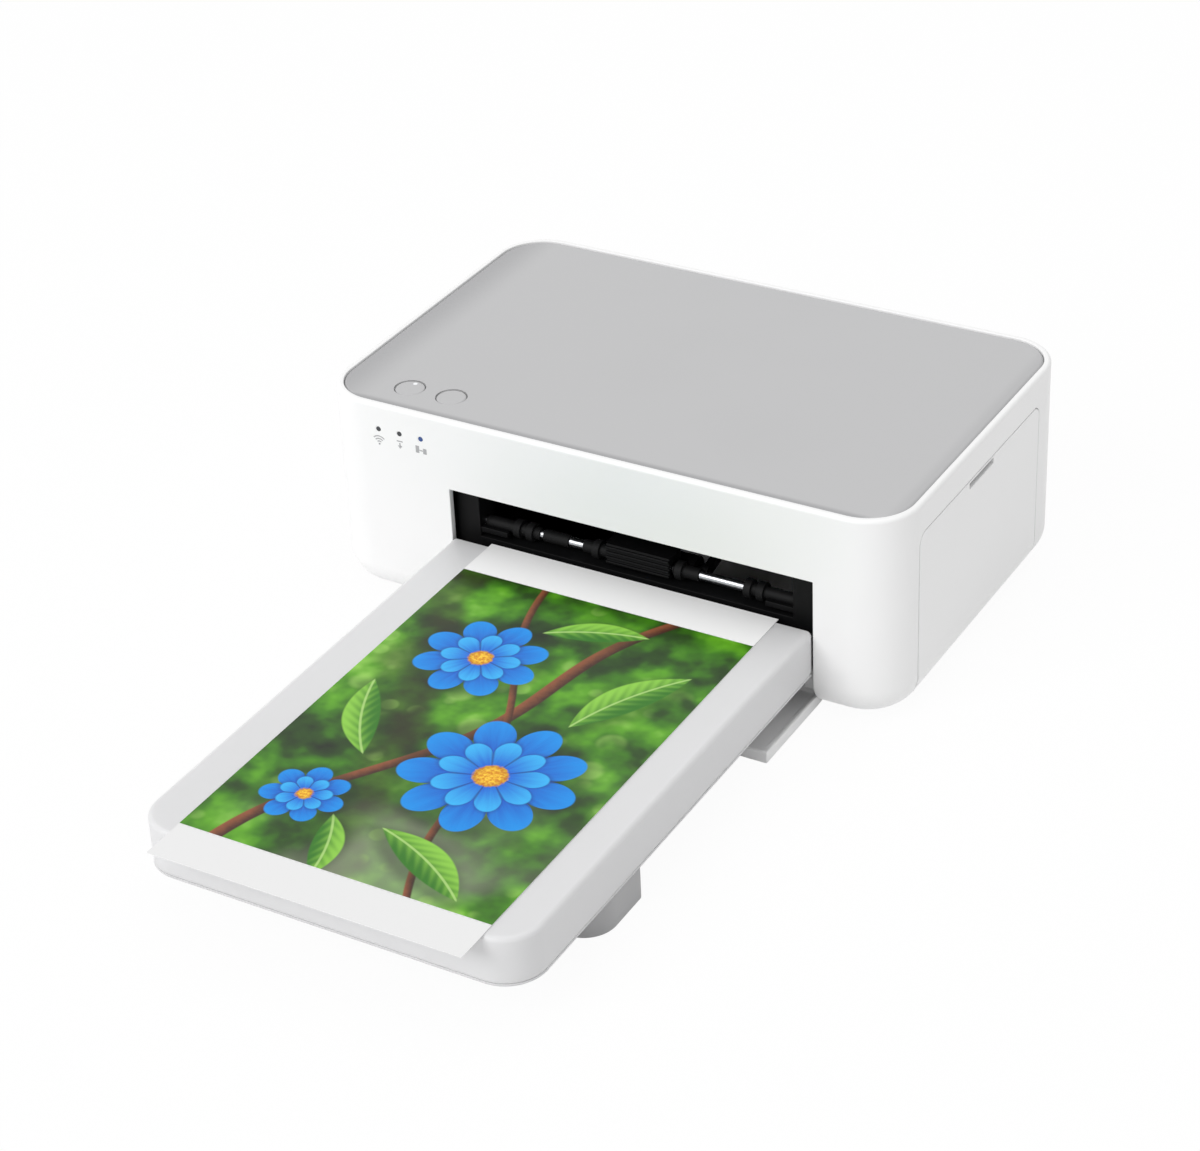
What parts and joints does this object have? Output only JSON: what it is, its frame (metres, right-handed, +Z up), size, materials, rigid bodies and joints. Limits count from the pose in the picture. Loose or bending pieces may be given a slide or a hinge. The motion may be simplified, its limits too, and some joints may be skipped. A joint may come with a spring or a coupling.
{
  "type": "compact photo printer",
  "caption": "Small dye-sublimation photo printer with a paper cassette in front, a fold-down flap, a side ribbon door, an inset top panel and a print on the cassette.",
  "frame": {"origin": "on the table, in the middle of the whole outline, cassette and print included", "axes": "+Z up, -Y towards the flap, the cassette and the user, +X towards the ribbon door"},
  "size_m": [0.2, 0.3045, 0.071],
  "materials": {
    "white_gloss": "gloss moulded, soft edges",
    "panel_grey": "fine satin",
    "frosted_plastic": "frosted translucent satin",
    "foot_grey": "satin",
    "black_plastic": "fine texture",
    "cartridge_grey": "fine texture",
    "black_rubber": "matt",
    "steel": "plain bright steel",
    "gear_plastic": "natural moulded",
    "brass": "turned",
    "print_paper": "coated photo paper",
    "photo_surface": "glossy print with a picture between two white tear-off ends",
    "ribbon_film": "thin coloured film",
    "aluminium": "extruded",
    "circuit_board": "solder mask",
    "lamp_white": "clear light pipe",
    "lamp_blue": "tinted light pipe"
  },
  "bodies": {
    "printer": {"outer_shell": "white_gloss", "top_panel": "panel_grey", "base_plate": "white_gloss", "rubber_feet": "black_rubber", "case_screws": "steel", "front_door_pins": "steel", "ribbon_door_pins": "steel", "button_domes": "black_rubber", "button_board": "circuit_board", "status_lights": "lamp_blue", "status_board": "circuit_board", "exit_frame": "black_plastic", "exit_guide": "black_plastic", "left_side_plate": "steel", "right_side_plate": "steel", "cross_member": "steel", "pivot_shafts": "steel", "paper_guide": "black_plastic", "motor": "steel", "ribbon_film": "ribbon_film", "cartridge_shell": "cartridge_grey", "fan_frame": "black_plastic", "main_board": "circuit_board", "power_inlet": "black_plastic", "usb_socket": "steel"},
    "front_door": {"front_door": "white_gloss"},
    "ribbon_door": {"ribbon_door": "white_gloss", "ribbon_door_latch": "foot_grey"},
    "power_button": {"power_button": "panel_grey", "power_light": "lamp_white"},
    "mode_button": {"mode_button": "panel_grey"},
    "cassette": {"cassette_tray": "frosted_plastic", "lid_pins": "steel", "cassette_foot": "foot_grey", "paper_stack": "print_paper", "lift_plate": "steel"},
    "cassette_lid": {"cassette_lid": "frosted_plastic"},
    "print": {"photo_print": "photo_surface"},
    "exit_shaft": {"exit_shaft": "steel", "exit_rollers": "black_rubber", "exit_gear": "gear_plastic"},
    "exit_idler": {"exit_idler": "gear_plastic"},
    "feed_roller": {"feed_roller": "steel", "feed_gear": "gear_plastic"},
    "pinch_roller": {"pinch_roller": "steel"},
    "platen_roller": {"platen_roller": "black_rubber", "platen_gear": "gear_plastic"},
    "drive_idler": {"drive_idler": "gear_plastic"},
    "reduction_gear": {"reduction_gear": "gear_plastic"},
    "motor_pinion": {"motor_pinion": "brass"},
    "takeup_idler": {"takeup_idler": "gear_plastic"},
    "takeup_spool": {"takeup_spool": "black_plastic", "takeup_gear": "gear_plastic"},
    "supply_spool": {"supply_spool": "black_plastic"},
    "head": {"print_head": "aluminium", "heat_sink": "aluminium", "head_arm": "steel"},
    "pickup_arm": {"pickup_arm": "foot_grey"},
    "pickup_roller": {"pickup_roller": "black_rubber"},
    "fan_rotor": {"fan_rotor": "black_plastic"}
  },
  "joints": [
    {"name": "cassette_slide", "type": "slide", "parent": "printer", "child": "cassette", "axis": [0, -1, 0], "range_m": [0, 0.32]},
    {"name": "front_door_hinge", "type": "hinge", "parent": "printer", "child": "front_door", "pos_m": [0.011, 0.03315, 0.0086], "axis": [-1, 0, 0], "range_deg": [0, 90]},
    {"name": "ribbon_door_hinge", "type": "hinge", "parent": "printer", "child": "ribbon_door", "pos_m": [0.096, 0.08565, 0.007], "axis": [0, 1, 0], "range_deg": [0, 90]},
    {"name": "cassette_lid_hinge", "type": "hinge", "parent": "cassette", "child": "cassette_lid", "pos_m": [0.011, 0.02265, 0.0255], "axis": [-1, 0, 0], "range_deg": [0, 50]},
    {"name": "print_slide", "type": "slide", "parent": "cassette_lid", "child": "print", "axis": [0, -1, 0], "range_m": [0, 0.19]},
    {"name": "power_button_press", "type": "slide", "parent": "printer", "child": "power_button", "axis": [0, 0, -1], "range_m": [0, 0.0006], "stiffness_N_per_m": 800},
    {"name": "mode_button_press", "type": "slide", "parent": "printer", "child": "mode_button", "axis": [0, 0, -1], "range_m": [0, 0.0006], "stiffness_N_per_m": 800},
    {"name": "head_lift", "type": "hinge", "parent": "printer", "child": "head", "pos_m": [0.011, 0.13115, 0.062], "axis": [-1, 0, 0], "range_deg": [0, 2.5]},
    {"name": "pickup_arm_swing", "type": "hinge", "parent": "printer", "child": "pickup_arm", "pos_m": [0.011, 0.05615, 0.031], "axis": [-1, 0, 0], "range_deg": [0, 6]},
    {"name": "pickup_roller_spin", "type": "hinge", "parent": "pickup_arm", "child": "pickup_roller", "pos_m": [0, 0.04365, 0.0284], "axis": [1, 0, 0], "continuous": true},
    {"name": "feed_spin", "type": "hinge", "parent": "printer", "child": "feed_roller", "pos_m": [0, 0.06515, 0.034], "axis": [1, 0, 0], "continuous": true},
    {"name": "pinch_spin", "type": "hinge", "parent": "printer", "child": "pinch_roller", "pos_m": [0, 0.06515, 0.0424], "axis": [1, 0, 0], "continuous": true},
    {"name": "platen_spin", "type": "hinge", "parent": "printer", "child": "platen_roller", "pos_m": [0, 0.08315, 0.032], "axis": [1, 0, 0], "continuous": true},
    {"name": "drive_idler_spin", "type": "hinge", "parent": "printer", "child": "drive_idler", "pos_m": [0, 0.07303, 0.02292], "axis": [1, 0, 0], "continuous": true},
    {"name": "reduction_spin", "type": "hinge", "parent": "printer", "child": "reduction_gear", "pos_m": [0, 0.08438, 0.01901], "axis": [1, 0, 0], "continuous": true},
    {"name": "motor_spin", "type": "hinge", "parent": "printer", "child": "motor_pinion", "pos_m": [0, 0.103, 0.01436], "axis": [1, 0, 0], "continuous": true},
    {"name": "exit_idler_spin", "type": "hinge", "parent": "printer", "child": "exit_idler", "pos_m": [0, 0.04865, 0.03084], "axis": [1, 0, 0], "continuous": true},
    {"name": "exit_shaft_spin", "type": "hinge", "parent": "printer", "child": "exit_shaft", "pos_m": [0, 0.03365, 0.0333], "axis": [1, 0, 0], "continuous": true},
    {"name": "takeup_idler_spin", "type": "hinge", "parent": "printer", "child": "takeup_idler", "pos_m": [0, 0.06828, 0.04392], "axis": [1, 0, 0], "continuous": true},
    {"name": "takeup_spin", "type": "hinge", "parent": "printer", "child": "takeup_spool", "pos_m": [0, 0.05915, 0.054], "axis": [1, 0, 0], "continuous": true},
    {"name": "supply_spin", "type": "hinge", "parent": "printer", "child": "supply_spool", "pos_m": [0, 0.11115, 0.05], "axis": [1, 0, 0], "continuous": true},
    {"name": "fan_spin", "type": "hinge", "parent": "printer", "child": "fan_rotor", "pos_m": [-0.075, 0.14415, 0.044], "axis": [0, 1, 0], "continuous": true}
  ],
  "couplings": [
    {"joint": "front_door_hinge", "follows": "cassette_slide", "rad_per_m": 4.9},
    {"joint": "pinch_spin", "follows": "feed_spin", "ratio": -1.6667},
    {"joint": "drive_idler_spin", "follows": "feed_spin", "ratio": -0.88889},
    {"joint": "platen_spin", "follows": "feed_spin", "ratio": 1},
    {"joint": "reduction_spin", "follows": "feed_spin", "ratio": 1.3333},
    {"joint": "motor_spin", "follows": "feed_spin", "ratio": -4},
    {"joint": "exit_idler_spin", "follows": "feed_spin", "ratio": -0.61538},
    {"joint": "exit_shaft_spin", "follows": "feed_spin", "ratio": 1.3333},
    {"joint": "takeup_idler_spin", "follows": "feed_spin", "ratio": -1.6},
    {"joint": "takeup_spin", "follows": "feed_spin", "ratio": 0.66667},
    {"joint": "supply_spin", "follows": "feed_spin", "ratio": 0.44444}
  ]
}
